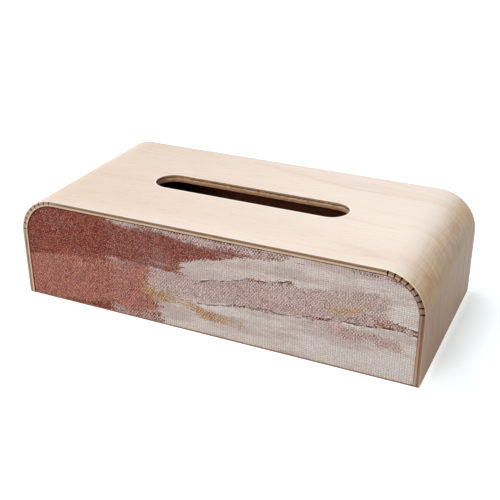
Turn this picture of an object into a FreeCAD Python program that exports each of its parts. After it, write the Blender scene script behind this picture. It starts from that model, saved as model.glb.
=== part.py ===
"""Tissue box with a kerf-bent plywood shell and a canvas-fronted drawer.

The shell is one flat sheet: a thin face veneer over a plywood board. Nine saw kerfs across each
corner of the board let the sheet bend, so the walls and the top are one piece. A rabbet along the
front and the rear edge makes a shoulder. The back panel is glued in the rear one, and the drawer
front closes in the front one.

X runs along the box, Y from the front to the back, Z up. The origin is on the floor, under the middle.
"""
import FreeCAD, Part
import os
import Sketcher

os.makedirs("parts", exist_ok=True)
doc = FreeCAD.newDocument("tissue_box")
sheet = doc.addObject("Spreadsheet::Sheet", "dims")

# Driving dimensions in millimetres, kerf_pitch in degrees. Each has its own cell and is written once.
dimensions = {
    # the whole box
    "overall_w": 285, "overall_d": 133, "overall_h": 74.7, "corner_r": 27.5,
    # the sheet that is bent, and the rabbet along its edges
    "veneer_t": 0.4, "board_t": 4.8, "rabbet_w": 1.5,
    # saw kerfs across the bends
    "kerf_saw": 0.95, "kerf_web": 0.2, "kerf_pitch": 9.6, "kerf_count": 9,
    # tissue slot in the top
    "slot_l": 143, "slot_w": 25,
    # boards glued into the shell
    "back_t": 4, "base_t": 4, "glue_gap": 0.1,
    # finger hole in the back panel
    "finger_r": 12,
    # felt pads under the base board
    "foot_t": 0.6, "foot_r": 6, "foot_inset_x": 17.5, "foot_inset_y": 14.5,
    # hardwood runners on the walls
    "runner_w": 5, "runner_tall": 6, "runner_rise": 17, "runner_gap": 0.5,
    # batten under the top that stops the open drawer
    "batten_l": 120, "batten_w": 10, "batten_drop": 6, "batten_gap": 0.2,
    # canvas panel of the drawer, and the gaps round it in the front rabbet
    "canvas_t": 0.5, "art_t": 3, "front_recess": 0.5, "front_lift": 0.2,
    "front_side_gap": 0.3, "front_top_gap": 0.9,
    # boards of the drawer box
    "side_t": 8, "side_tall": 40, "box_front_t": 4, "drawer_back_t": 4,
    "bottom_t": 3, "bottom_lift": 2.2, "bottom_bite": 3, "bottom_play": 0.1,
    # running clearances of the drawer in the case
    "side_gap": 1, "under_gap": 0.8, "rear_gap": 1, "top_gap": 1, "catch_gap": 0.7,
    "groove_top_play": 0.2, "groove_low_play": 0.4, "groove_end_play": 0.5,
    # pins at the corners of the drawer box
    "pin_r": 0.6, "pin_l": 14, "pin_inset": 4, "pin_low": 8, "pin_high": 32, "pin_play": 0.05,
    # screws from the drawer box into the art board
    "screw_r": 1.5, "screw_bite": 2.3, "screw_head_r": 2.8, "screw_head_t": 1.6, "screw_play": 0.1,
    "screw_inset": 28, "screw_low": 14, "screw_high": 46,
}
for row, (alias, value) in enumerate(dimensions.items(), start=1):
    sheet.set(f"A{row}", alias)
    sheet.set(f"B{row}", str(value))
    sheet.setAlias(f"B{row}", alias)
doc.recompute()

# Distances below the outer surface of the bent sheet.
BOARD = "dims.veneer_t"
WALL = "(dims.veneer_t + dims.board_t)"
SHOULDER = f"({WALL} - dims.rabbet_w)"
FRONT_SIDE = f"({SHOULDER} + dims.front_side_gap)"
FRONT_TOP = f"({SHOULDER} + dims.front_top_gap)"
DRAWER = f"({WALL} + dims.side_gap)"

# Heights above the floor.
SHELL_LOW = "dims.foot_t"
BASE_TOP = f"({SHELL_LOW} + dims.base_t)"
DRAWER_LOW = f"({BASE_TOP} + dims.under_gap)"
BOTTOM_LOW = f"({DRAWER_LOW} + dims.bottom_lift)"
RUNNER_LOW = f"({BASE_TOP} + dims.runner_rise)"
RUNNER_TOP = f"({RUNNER_LOW} + dims.runner_tall)"
TOP_UNDER = f"(dims.overall_h - {WALL})"
BATTEN_LOW = f"({TOP_UNDER} - dims.batten_drop)"
FRONT_LOW = f"({SHELL_LOW} + dims.front_lift)"

# Places along Y, from the front to the rear.
FRONT_EDGE = "(-dims.overall_d / 2)"
CANVAS_FACE = f"({FRONT_EDGE} + dims.front_recess)"
ART_FACE = f"({CANVAS_FACE} + dims.canvas_t)"
FRONT_SEAT = f"({ART_FACE} + dims.art_t)"
TRAY_START = f"({FRONT_SEAT} + dims.box_front_t)"
REAR_EDGE = "(dims.overall_d / 2)"
BACK_SEAT = f"({REAR_EDGE} - dims.back_t)"
DRAWER_REAR = f"({BACK_SEAT} - dims.rear_gap)"
TRAY_END = f"({DRAWER_REAR} - dims.drawer_back_t)"

# Places along X, on the right-hand side.
HALF = "(dims.overall_w / 2)"
WALL_INNER = f"({HALF} - {WALL})"
RUNNER_FACE = f"({WALL_INNER} - dims.runner_w)"
SIDE_OUTER = f"({HALF} - {DRAWER})"
SIDE_INNER = f"({SIDE_OUTER} - dims.side_t)"
GROOVE_FLOOR = f"({RUNNER_FACE} - dims.groove_end_play)"
GROOVE_LOW = f"({RUNNER_LOW} - dims.groove_low_play)"
GROOVE_TOP = f"({RUNNER_TOP} + dims.groove_top_play)"


def size(expression):
    """Value of an expression in the sheet, in millimetres."""
    return float(sheet.evalExpression(expression))


def new_body(label):
    """Body named after its sub-part."""
    body = doc.addObject("PartDesign::Body", label)
    body.Label = label
    return body


def new_sketch(body, name, plane, offset):
    """Sketch on an origin plane of the body, moved along the plane's normal by an expression.

    The normal of XZ_Plane points to the front, so its offset is minus the place along Y.
    """
    sketch = body.newObject("Sketcher::SketchObject", f"{body.Label}_{name}")
    origin_plane = next(item for item in body.Origin.OriginFeatures if item.Role == plane)
    sketch.AttachmentSupport = [(origin_plane, "")]
    sketch.MapMode = "FlatFace"
    sketch.setExpression("AttachmentOffset.Base.z", offset)
    return sketch


def bind(sketch, constraint, expression):
    """Add a constraint whose size is an expression."""
    index = sketch.addConstraint(constraint)
    sketch.setExpression(f"Constraints[{index}]", expression)


def pin_point(sketch, edge, end, x, y):
    """Hold one end of an edge at a place given by two expressions."""
    bind(sketch, Sketcher.Constraint("DistanceX", edge, end, size(x)), x)
    bind(sketch, Sketcher.Constraint("DistanceY", edge, end, size(y)), y)


def polygon(sketch, corners):
    """Closed outline of straight lines through corners given as pairs of expressions."""
    points = [FreeCAD.Vector(size(x), size(y), 0) for x, y in corners]
    count = len(points)
    for index, point in enumerate(points):
        sketch.addGeometry(Part.LineSegment(point, points[(index + 1) % count]), False)
    for index in range(count):
        sketch.addConstraint(Sketcher.Constraint("Coincident", index, 2, (index + 1) % count, 1))
    for index, (x, y) in enumerate(corners):
        pin_point(sketch, index, 1, x, y)


def rectangle(sketch, left, right, low, top):
    """Upright rectangle between four expressions."""
    polygon(sketch, [(left, low), (right, low), (right, top), (left, top)])


def arch(sketch, half, low, top, radius):
    """Outline with a flat foot, upright sides, two round upper corners and a flat top."""
    half_w, low_z, top_z, round_r = size(half), size(low), size(top), size(radius)
    middle_x = half_w - round_r
    middle_z = top_z - round_r
    quarter = Part.Circle(FreeCAD.Vector(middle_x, middle_z, 0), FreeCAD.Vector(0, 0, 1), round_r)
    mirrored = Part.Circle(FreeCAD.Vector(-middle_x, middle_z, 0), FreeCAD.Vector(0, 0, 1), round_r)
    right_angle = 1.5707963267948966
    corner = [FreeCAD.Vector(x, z, 0) for x, z in (
        (-half_w, low_z), (half_w, low_z), (half_w, middle_z), (middle_x, top_z),
        (-middle_x, top_z), (-half_w, middle_z))]
    foot = sketch.addGeometry(Part.LineSegment(corner[0], corner[1]), False)
    right = sketch.addGeometry(Part.LineSegment(corner[1], corner[2]), False)
    right_bend = sketch.addGeometry(Part.ArcOfCircle(quarter, 0, right_angle), False)
    roof = sketch.addGeometry(Part.LineSegment(corner[3], corner[4]), False)
    left_bend = sketch.addGeometry(Part.ArcOfCircle(mirrored, right_angle, 2 * right_angle), False)
    left = sketch.addGeometry(Part.LineSegment(corner[5], corner[0]), False)
    sketch.addConstraint(Sketcher.Constraint("Coincident", foot, 2, right, 1))
    sketch.addConstraint(Sketcher.Constraint("Coincident", left, 2, foot, 1))
    sketch.addConstraint(Sketcher.Constraint("Tangent", right, 2, right_bend, 1))
    sketch.addConstraint(Sketcher.Constraint("Tangent", right_bend, 2, roof, 1))
    sketch.addConstraint(Sketcher.Constraint("Tangent", roof, 2, left_bend, 1))
    sketch.addConstraint(Sketcher.Constraint("Tangent", left_bend, 2, left, 1))
    sketch.addConstraint(Sketcher.Constraint("Vertical", right))
    sketch.addConstraint(Sketcher.Constraint("Vertical", left))
    sketch.addConstraint(Sketcher.Constraint("Horizontal", roof))
    sketch.addConstraint(Sketcher.Constraint("Equal", right_bend, left_bend))
    pin_point(sketch, foot, 2, half, low)
    pin_point(sketch, foot, 1, f"-{half}", low)
    bind(sketch, Sketcher.Constraint("DistanceY", roof, 1, top_z), top)
    bind(sketch, Sketcher.Constraint("Radius", right_bend, round_r), radius)


def shell_arch(sketch, depth, low):
    """Arch that runs a given depth below the outer surface of the bent sheet."""
    arch(sketch, f"({HALF} - {depth})", low, f"(dims.overall_h - {depth})", f"(dims.corner_r - {depth})")


def circles(sketch, places, radius):
    """Circles of one radius at places given as pairs of expressions."""
    for x, y in places:
        centre = FreeCAD.Vector(size(x), size(y), 0)
        circle = sketch.addGeometry(Part.Circle(centre, FreeCAD.Vector(0, 0, 1), size(radius)), False)
        pin_point(sketch, circle, 3, x, y)
        bind(sketch, Sketcher.Constraint("Radius", circle, size(radius)), radius)


def pad(body, sketch, length):
    """Solid from a sketch: forwards from XZ_Plane, upwards from XY_Plane."""
    feature = body.newObject("PartDesign::Pad", f"{sketch.Name}_pad")
    feature.Profile = sketch
    feature.setExpression("Length", length)
    sketch.Visibility = False
    doc.recompute()
    return feature


def pocket(body, sketch, length=None, forwards=False):
    """Cut from a sketch, against its normal, or along it with forwards. No length cuts through all."""
    before = body.Tip.Shape.Volume
    feature = body.newObject("PartDesign::Pocket", f"{sketch.Name}_pocket")
    feature.Profile = sketch
    feature.Reversed = forwards
    if length is None:
        feature.Type = "ThroughAll"
    else:
        feature.setExpression("Length", length)
    doc.recompute()
    if feature.Shape.Volume >= before:
        raise RuntimeError(f"{feature.Name} cuts nothing")
    return feature


# ---- Bent shell -------------------------------------------------------------------------------

def cut_tissue_slot(body):
    """Stadium slot through the middle of the top."""
    sketch = new_sketch(body, "slot", "XY_Plane", "dims.overall_h")
    end_r = "(dims.slot_w / 2)"
    end_x = f"(dims.slot_l / 2 - {end_r})"
    radius, reach = size(end_r), size(end_x)
    right_angle = 1.5707963267948966
    right_circle = Part.Circle(FreeCAD.Vector(reach, 0, 0), FreeCAD.Vector(0, 0, 1), radius)
    left_circle = Part.Circle(FreeCAD.Vector(-reach, 0, 0), FreeCAD.Vector(0, 0, 1), radius)
    rear = Part.LineSegment(FreeCAD.Vector(reach, radius, 0), FreeCAD.Vector(-reach, radius, 0))
    front = Part.LineSegment(FreeCAD.Vector(-reach, -radius, 0), FreeCAD.Vector(reach, -radius, 0))
    right_end = sketch.addGeometry(Part.ArcOfCircle(right_circle, -right_angle, right_angle), False)
    rear_side = sketch.addGeometry(rear, False)
    left_end = sketch.addGeometry(Part.ArcOfCircle(left_circle, right_angle, 3 * right_angle), False)
    front_side = sketch.addGeometry(front, False)
    loop = [right_end, rear_side, left_end, front_side]
    for index, edge in enumerate(loop):
        sketch.addConstraint(Sketcher.Constraint("Tangent", edge, 2, loop[(index + 1) % 4], 1))
    sketch.addConstraint(Sketcher.Constraint("Horizontal", rear_side))
    pin_point(sketch, right_end, 3, end_x, "0")
    pin_point(sketch, left_end, 3, f"-{end_x}", "0")
    bind(sketch, Sketcher.Constraint("Radius", right_end, radius), end_r)
    return pocket(body, sketch)


def make_face_veneer():
    """Thin outer skin over the walls, the bends and the top, not cut by the kerfs."""
    body = new_body("face_veneer")
    outer = new_sketch(body, "outer", "XZ_Plane", f"-{REAR_EDGE}")
    shell_arch(outer, "0", SHELL_LOW)
    pad(body, outer, "dims.overall_d")
    inner = new_sketch(body, "inner", "XZ_Plane", f"-{FRONT_EDGE}")
    shell_arch(inner, BOARD, f"({SHELL_LOW} - 1)")
    pocket(body, inner)
    cut_tissue_slot(body)
    return body


def cut_kerfs(body, side):
    """Saw kerfs round one bend. Each is as wide as the saw under the veneer.

    Bending has closed its mouth by the share of the right angle that it turns.
    """
    name = "kerf_right" if side > 0 else "kerf_left"
    sketch = new_sketch(body, name, "XZ_Plane", f"-{FRONT_EDGE}")
    span = "(dims.kerf_pitch * (dims.kerf_count - 1))"
    sketch.AttachmentOffset = FreeCAD.Placement(
        FreeCAD.Vector(0, 0, 0), FreeCAD.Rotation(FreeCAD.Vector(0, 0, 1), 1))
    sketch.setExpression("AttachmentOffset.Base.x", f"{side} * ({HALF} - dims.corner_r)")
    sketch.setExpression("AttachmentOffset.Base.y", "dims.overall_h - dims.corner_r")
    sketch.setExpression("AttachmentOffset.Base.z", f"-{FRONT_EDGE}")
    sketch.setExpression("AttachmentOffset.Rotation.Angle", f"{-45 * side} - {span} / 2")
    bend = "(pi / 2 / dims.kerf_count)"
    floor_r = f"(dims.corner_r - {BOARD} - dims.kerf_web)"
    mouth_r = f"(dims.corner_r - {WALL} - dims.glue_gap)"
    floor_half = "(dims.kerf_saw / 2)"
    mouth_half = f"({floor_half} - {bend} * ({floor_r} - {mouth_r}) / 2)"
    polygon(sketch, [(f"-{mouth_half}", mouth_r), (mouth_half, mouth_r),
                     (floor_half, floor_r), (f"-{floor_half}", floor_r)])
    first = pocket(body, sketch)
    pattern = body.newObject("PartDesign::PolarPattern", f"{name}_row")
    pattern.Originals = [first]
    pattern.Axis = (sketch, ["N_Axis"])
    pattern.setExpression("Angle", span)
    pattern.setExpression("Occurrences", "dims.kerf_count")
    body.Tip = pattern
    doc.recompute()
    if pattern.Shape.Volume >= first.Shape.Volume:
        raise RuntimeError(f"{pattern.Name} cuts nothing")
    return pattern


def make_bent_board():
    """Board under the veneer: walls and top in one piece, with kerfs, slot and rabbets."""
    body = new_body("bent_board")
    outer = new_sketch(body, "outer", "XZ_Plane", f"-{REAR_EDGE}")
    shell_arch(outer, BOARD, SHELL_LOW)
    pad(body, outer, "dims.overall_d")
    inner = new_sketch(body, "inner", "XZ_Plane", f"-{FRONT_EDGE}")
    shell_arch(inner, WALL, f"({SHELL_LOW} - 1)")
    pocket(body, inner)
    front_rabbet = new_sketch(body, "front_rabbet", "XZ_Plane", f"-{FRONT_EDGE}")
    shell_arch(front_rabbet, SHOULDER, f"({SHELL_LOW} - 1)")
    pocket(body, front_rabbet, f"{FRONT_SEAT} - {FRONT_EDGE}")
    rear_rabbet = new_sketch(body, "rear_rabbet", "XZ_Plane", f"-{REAR_EDGE}")
    shell_arch(rear_rabbet, SHOULDER, f"({SHELL_LOW} - 1)")
    pocket(body, rear_rabbet, "dims.back_t", forwards=True)
    cut_tissue_slot(body)
    cut_kerfs(body, 1)
    cut_kerfs(body, -1)
    return body


# ---- Boards and fittings of the case ----------------------------------------------------------

def make_back_panel():
    """Panel in the rear rabbet, with a round finger hole in its middle."""
    body = new_body("back_panel")
    outline = new_sketch(body, "outline", "XZ_Plane", f"-{REAR_EDGE}")
    shell_arch(outline, f"({SHOULDER} + dims.glue_gap)", SHELL_LOW)
    pad(body, outline, "dims.back_t")
    hole = new_sketch(body, "finger_hole", "XZ_Plane", f"-{BACK_SEAT}")
    circles(hole, [("0", f"(({SHELL_LOW} + dims.overall_h) / 2)")], "dims.finger_r")
    pocket(body, hole)
    return body


def make_base_board():
    """Floor of the case, glued between the walls from the front shoulder to the back panel."""
    body = new_body("base_board")
    outline = new_sketch(body, "outline", "XZ_Plane", f"-{BACK_SEAT}")
    rectangle(outline, f"-{WALL_INNER}", WALL_INNER, SHELL_LOW, BASE_TOP)
    pad(body, outline, f"{BACK_SEAT} - {FRONT_SEAT}")
    return body


def make_runner():
    """Hardwood strip glued along the right wall, for the groove in the drawer side."""
    body = new_body("runner_right")
    outline = new_sketch(body, "outline", "XZ_Plane", f"-({BACK_SEAT} - dims.glue_gap)")
    rectangle(outline, RUNNER_FACE, WALL_INNER, RUNNER_LOW, RUNNER_TOP)
    pad(body, outline, f"{BACK_SEAT} - dims.glue_gap - {FRONT_SEAT} - dims.runner_gap")
    return body


def make_stop_batten():
    """Batten under the top, just behind the front shoulder, in the path of the drawer's back."""
    body = new_body("stop_batten")
    rear = f"({FRONT_SEAT} + dims.batten_gap + dims.batten_w)"
    outline = new_sketch(body, "outline", "XZ_Plane", f"-{rear}")
    rectangle(outline, "-dims.batten_l / 2", "dims.batten_l / 2", BATTEN_LOW, TOP_UNDER)
    pad(body, outline, "dims.batten_w")
    return body


def make_foot_pads():
    """Four felt discs under the corners of the base board."""
    discs = []
    for index, (side, end) in enumerate(((-1, -1), (1, -1), (1, 1), (-1, 1)), start=1):
        disc = doc.addObject("Part::Cylinder", f"foot_{index}")
        disc.setExpression("Radius", "dims.foot_r")
        disc.setExpression("Height", "dims.foot_t")
        disc.setExpression("Placement.Base.x", f"{side} * ({HALF} - dims.foot_inset_x)")
        disc.setExpression("Placement.Base.y", f"{end} * ({REAR_EDGE} - dims.foot_inset_y)")
        discs.append(disc)
    return group("foot_pads", discs)


def group(label, members):
    """Identical loose pieces as one sub-part of separate solids."""
    compound = doc.addObject("Part::Compound", label)
    compound.Label = label
    compound.Links = members
    return compound


def mirrored(source, label):
    """Left-hand piece as the mirror image of the right-hand one."""
    mirror = doc.addObject("Part::Mirroring", label)
    mirror.Label = label
    mirror.Source = source
    mirror.Normal = FreeCAD.Vector(1, 0, 0)
    return mirror


# ---- Canvas panel -----------------------------------------------------------------------------

def panel_arch(sketch, inset):
    """Outline of the panel in the front rabbet, a given inset inside its outer edge.

    The gap is wider under the top than at the walls, so that the panel never scrapes the top.
    """
    arch(sketch, f"({HALF} - {FRONT_SIDE} - {inset})", f"({FRONT_LOW} + {inset})",
         f"(dims.overall_h - {FRONT_TOP} - {inset})", f"(dims.corner_r - {FRONT_SIDE} - {inset})")


def make_art_board():
    """Stiff board behind the canvas. It laps the front shoulder and closes on it."""
    body = new_body("art_board")
    outline = new_sketch(body, "outline", "XZ_Plane", f"-{FRONT_SEAT}")
    panel_arch(outline, "dims.canvas_t")
    pad(body, outline, "dims.art_t")
    pilots = new_sketch(body, "pilots", "XZ_Plane", f"-({FRONT_SEAT} - dims.screw_bite - dims.screw_play)")
    circles(pilots, screw_places(), "(dims.screw_r + dims.screw_play)")
    pocket(body, pilots)
    return body


def make_front_canvas():
    """Canvas over the face and the edges of the art board."""
    body = new_body("front_canvas")
    outer = new_sketch(body, "outer", "XZ_Plane", f"-{FRONT_SEAT}")
    panel_arch(outer, "0")
    pad(body, outer, "dims.art_t + dims.canvas_t")
    inner = new_sketch(body, "inner", "XZ_Plane", f"-{ART_FACE}")
    panel_arch(inner, "dims.canvas_t")
    pocket(body, inner)
    return body


# ---- Drawer box -------------------------------------------------------------------------------

def cut_runner_notches(body, front):
    """Notches at both ends of a cross board, in line with the grooves in the drawer sides."""
    for side, name in ((1, "notch_right"), (-1, "notch_left")):
        notch = new_sketch(body, name, "XZ_Plane", f"-{front}")
        rectangle(notch, f"{side} * {GROOVE_FLOOR}", f"{side} * {WALL_INNER}", GROOVE_LOW, GROOVE_TOP)
        pocket(body, notch)


def pin_places():
    """Centres of the corner pins across the drawer: two in the end grain of each side."""
    across = f"({SIDE_INNER} + dims.pin_inset)"
    heights = [f"({DRAWER_LOW} + dims.pin_low)", f"({DRAWER_LOW} + dims.pin_high)"]
    return [(f"{side} * {across}", height) for side in (-1, 1) for height in heights]


def screw_places():
    """Centres of the panel screws across the drawer front."""
    across = f"({SIDE_OUTER} - dims.screw_inset)"
    heights = [f"({DRAWER_LOW} + dims.screw_low)", f"({DRAWER_LOW} + dims.screw_high)"]
    return [(f"{side} * {across}", height) for side in (-1, 1) for height in heights]


def make_cross_board(label, rear, thickness, top):
    """Board across the drawer that follows the shell's inside, drilled for the corner pins."""
    body = new_body(label)
    outline = new_sketch(body, "outline", "XZ_Plane", f"-{rear}")
    arch(outline, f"({HALF} - {DRAWER})", DRAWER_LOW, top, f"(dims.corner_r - {DRAWER})")
    pad(body, outline, thickness)
    front = f"({rear} - {thickness})"
    cut_runner_notches(body, front)
    drilled = new_sketch(body, "pin_holes", "XZ_Plane", f"-{front}")
    circles(drilled, pin_places(), "(dims.pin_r + dims.pin_play)")
    pocket(body, drilled)
    return body


def make_drawer_box_front():
    """Front of the drawer box, low enough to pass under the batten, with holes for the screws."""
    body = make_cross_board("drawer_box_front", TRAY_START, "dims.box_front_t",
                            f"({BATTEN_LOW} - dims.catch_gap)")
    holes = new_sketch(body, "screw_holes", "XZ_Plane", f"-{FRONT_SEAT}")
    circles(holes, screw_places(), "(dims.screw_r + dims.screw_play)")
    pocket(body, holes)
    return body


def make_drawer_back():
    """Back of the drawer, tall enough to meet the batten when the drawer is open."""
    return make_cross_board("drawer_back", DRAWER_REAR, "dims.drawer_back_t",
                            f"({TOP_UNDER} - dims.top_gap)")


def make_drawer_side():
    """Right side, grooved outside for the runner and inside for the drawer bottom."""
    body = new_body("drawer_side_right")
    outline = new_sketch(body, "outline", "XZ_Plane", f"-{TRAY_END}")
    side_top = f"({DRAWER_LOW} + dims.side_tall)"
    bottom_floor = f"({SIDE_INNER} + dims.bottom_bite)"
    bottom_top = f"({BOTTOM_LOW} + dims.bottom_t)"
    polygon(outline, [
        (SIDE_INNER, DRAWER_LOW), (SIDE_OUTER, DRAWER_LOW),
        (SIDE_OUTER, GROOVE_LOW), (GROOVE_FLOOR, GROOVE_LOW),
        (GROOVE_FLOOR, GROOVE_TOP), (SIDE_OUTER, GROOVE_TOP),
        (SIDE_OUTER, side_top), (SIDE_INNER, side_top),
        (SIDE_INNER, bottom_top), (bottom_floor, bottom_top),
        (bottom_floor, BOTTOM_LOW), (SIDE_INNER, BOTTOM_LOW)])
    pad(body, outline, f"{TRAY_END} - {TRAY_START}")
    bore_depth = "(dims.pin_l - {board} + dims.pin_play)"
    front_bores = new_sketch(body, "front_bores", "XZ_Plane", f"-{TRAY_START}")
    circles(front_bores, pin_places()[2:], "(dims.pin_r + dims.pin_play)")
    pocket(body, front_bores, bore_depth.format(board="dims.box_front_t"))
    rear_bores = new_sketch(body, "rear_bores", "XZ_Plane", f"-{TRAY_END}")
    circles(rear_bores, pin_places()[2:], "(dims.pin_r + dims.pin_play)")
    pocket(body, rear_bores, bore_depth.format(board="dims.drawer_back_t"), forwards=True)
    return body


def make_drawer_bottom():
    """Thin panel held in the grooves of the two sides."""
    body = new_body("drawer_bottom")
    outline = new_sketch(body, "outline", "XZ_Plane", f"-({TRAY_END} - dims.bottom_play)")
    edge = f"({SIDE_INNER} + dims.bottom_bite - dims.bottom_play)"
    rectangle(outline, f"-{edge}", edge, BOTTOM_LOW, f"({BOTTOM_LOW} + dims.bottom_t)")
    pad(body, outline, f"{TRAY_END} - {TRAY_START} - 2 * dims.bottom_play")
    return body


def rod(name, radius, length, x, y, z):
    """Cylinder that runs from a place towards the rear."""
    cylinder = doc.addObject("Part::Cylinder", name)
    cylinder.Placement = FreeCAD.Placement(
        FreeCAD.Vector(0, 0, 0), FreeCAD.Rotation(FreeCAD.Vector(1, 0, 0), -90))
    cylinder.setExpression("Radius", radius)
    cylinder.setExpression("Height", length)
    cylinder.setExpression("Placement.Base.x", x)
    cylinder.setExpression("Placement.Base.y", y)
    cylinder.setExpression("Placement.Base.z", z)
    return cylinder


def make_drawer_pins():
    """Headless pins through the cross boards into the end grain of the sides."""
    pins = []
    for index, (x, z) in enumerate(pin_places(), start=1):
        pins.append(rod(f"front_pin_{index}", "dims.pin_r", "dims.pin_l", x, FRONT_SEAT, z))
        pins.append(rod(f"rear_pin_{index}", "dims.pin_r", "dims.pin_l",
                        x, f"{DRAWER_REAR} - dims.pin_l", z))
    return group("drawer_pins", pins)


def make_panel_screws():
    """Pan-head screws from inside the drawer box into the art board."""
    screws = []
    for index, (x, z) in enumerate(screw_places(), start=1):
        shank = rod(f"shank_{index}", "dims.screw_r", "dims.box_front_t + dims.screw_bite",
                    x, f"{FRONT_SEAT} - dims.screw_bite", z)
        head = rod(f"head_{index}", "dims.screw_head_r", "dims.screw_head_t", x, TRAY_START, z)
        screw = doc.addObject("Part::Fuse", f"screw_{index}")
        screw.Base = shank
        screw.Tool = head
        screws.append(screw)
    return group("panel_screws", screws)


runner_right = make_runner()
drawer_side_right = make_drawer_side()
sub_parts = [
    make_face_veneer(),
    make_bent_board(),
    make_back_panel(),
    make_base_board(),
    runner_right,
    mirrored(runner_right, "runner_left"),
    make_stop_batten(),
    make_foot_pads(),
    make_art_board(),
    make_front_canvas(),
    make_drawer_box_front(),
    drawer_side_right,
    mirrored(drawer_side_right, "drawer_side_left"),
    make_drawer_back(),
    make_drawer_bottom(),
    make_drawer_pins(),
    make_panel_screws(),
]
doc.recompute()

for item in doc.Objects:
    if "Invalid" in item.State or "Error" in item.State:
        raise RuntimeError(f"{item.Label} failed: {item.State}")
for part in sub_parts:
    if part.Shape.isNull() or not part.Shape.isValid():
        raise RuntimeError(f"{part.Label} has no valid shape")
    part.Shape.exportStep(f"parts/{part.Label}.step")
    box = part.Shape.BoundBox
    print(f"{part.Label}: {len(part.Shape.Solids)} solids, {part.Shape.Volume:.1f} mm3, "
          f"X {box.XMin:.2f}..{box.XMax:.2f} Y {box.YMin:.2f}..{box.YMax:.2f} Z {box.ZMin:.2f}..{box.ZMax:.2f}")
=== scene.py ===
"""Looks of a kerf-bent plywood tissue box whose canvas-covered front is the front of a drawer.

Lengths are in metres. X runs along the box, Y from its front to its back, and Z up from the floor.
"""
import bmesh
import bpy
import math
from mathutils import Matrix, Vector


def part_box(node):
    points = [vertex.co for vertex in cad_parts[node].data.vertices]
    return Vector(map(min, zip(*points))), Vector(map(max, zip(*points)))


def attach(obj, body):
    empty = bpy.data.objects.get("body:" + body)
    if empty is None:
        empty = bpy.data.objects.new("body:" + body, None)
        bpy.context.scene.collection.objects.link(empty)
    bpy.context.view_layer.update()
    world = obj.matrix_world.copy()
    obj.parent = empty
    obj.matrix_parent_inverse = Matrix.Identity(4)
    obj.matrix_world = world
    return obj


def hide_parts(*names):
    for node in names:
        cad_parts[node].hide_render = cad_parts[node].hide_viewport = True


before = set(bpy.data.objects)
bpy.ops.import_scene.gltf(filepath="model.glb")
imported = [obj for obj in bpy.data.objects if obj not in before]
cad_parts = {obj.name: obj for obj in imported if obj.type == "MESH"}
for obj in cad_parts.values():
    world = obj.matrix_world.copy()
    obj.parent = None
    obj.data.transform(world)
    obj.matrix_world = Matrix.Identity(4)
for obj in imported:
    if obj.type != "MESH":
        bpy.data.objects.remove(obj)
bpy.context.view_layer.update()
mm = 0.001


# ---- Face veneer ------------------------------------------------------------------------------
# The outer skin of the shell: one thin sheet of pale maple that goes up the left wall, over the
# top and down the right wall. The kerfs don't cut it, but it lies very slightly flat between them.

class Wire:
    """A node's output. Arithmetic on it adds Math nodes to the same tree."""

    def __init__(self, tree, output):
        self.tree = tree
        self.output = output

    @staticmethod
    def node(tree, kind, settings=None, inputs=None, output=0):
        """Add a node: settings first, then values or wires for its inputs, by name or by number."""
        made = tree.nodes.new(kind)
        for name, value in (settings or {}).items():
            if name == "stops":
                ramp = made.color_ramp
                while len(ramp.elements) < len(value):
                    ramp.elements.new(1.0)
                for element, (place, colour) in zip(ramp.elements, value):
                    element.position = place
                    element.color = colour
            else:
                setattr(made, name, value)
        Wire.feed(made, inputs or {})
        return Wire(tree, made.outputs[output])

    @staticmethod
    def feed(node, inputs):
        """Give a node's inputs their values or wires, by name or by number."""
        for key, value in inputs.items():
            if isinstance(value, Wire):
                value.tree.links.new(value.output, node.inputs[key])
            else:
                node.inputs[key].default_value = value

    def then(self, kind, settings=None, inputs=None, output=0):
        """Add a node to this wire's tree."""
        return Wire.node(self.tree, kind, settings, inputs, output)

    def math(self, operation, *values):
        return self.then("ShaderNodeMath", {"operation": operation}, dict(enumerate((self, *values))))

    def __add__(self, other):
        return self.math("ADD", other)

    __radd__ = __add__

    def __sub__(self, other):
        return self.math("SUBTRACT", other)

    def __rsub__(self, other):
        return self.math("MULTIPLY_ADD", -1.0, other)

    def __mul__(self, other):
        return self.math("MULTIPLY", other)

    def __truediv__(self, other):
        return self.math("DIVIDE", other)

    def __abs__(self):
        return self.math("ABSOLUTE")

    def split(self):
        """X, Y and Z of a vector."""
        return [self.then("ShaderNodeSeparateXYZ", None, {0: self}, part) for part in range(3)]

    def step(self, low, high):
        """Smooth rise from 0 to 1 as this wire goes from low to high, which may be below low."""
        return self.then("ShaderNodeMapRange", {"interpolation_type": "SMOOTHSTEP"},
                         {0: self, 1: low, 2: high})

    def mix(self, first, second):
        """Colour between first and second, with this wire as the share of the second."""
        return self.then("ShaderNodeMix", {"data_type": "RGBA"}, {0: self, 6: first, 7: second}, 2)

    def through(self, kind, **inputs):
        """What a Geometry node of this kind makes of this geometry."""
        return self.then(f"GeometryNode{kind}", None, {"Geometry": self, **inputs})

    def laid_on(self, points, turn):
        """A copy of this geometry at every point, turned by a rotation."""
        return self.then("GeometryNodeInstanceOnPoints", None, {
            "Points": points, "Instance": self, "Rotation": turn})


def vector(*parts):
    """Vector from up to three wires or numbers, of which at least one is a wire."""
    wire = next(part for part in parts if isinstance(part, Wire))
    return wire.then("ShaderNodeCombineXYZ", None, dict(enumerate(parts)))


def noise(place, detail=2.0, roughness=0.5):
    """Noise from 0 to 1 at a place, whose scale is in the place itself."""
    return place.then("ShaderNodeTexNoise", None, {
        "Vector": place, "Scale": 1.0, "Detail": detail, "Roughness": roughness})


def paint(red, green, blue):
    """Colour from screen values of 0 to 255."""
    levels = [value / 255 for value in (red, green, blue)]
    return (*[v / 12.92 if v <= 0.04045 else ((v + 0.055) / 1.055) ** 2.4 for v in levels], 1.0)


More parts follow.
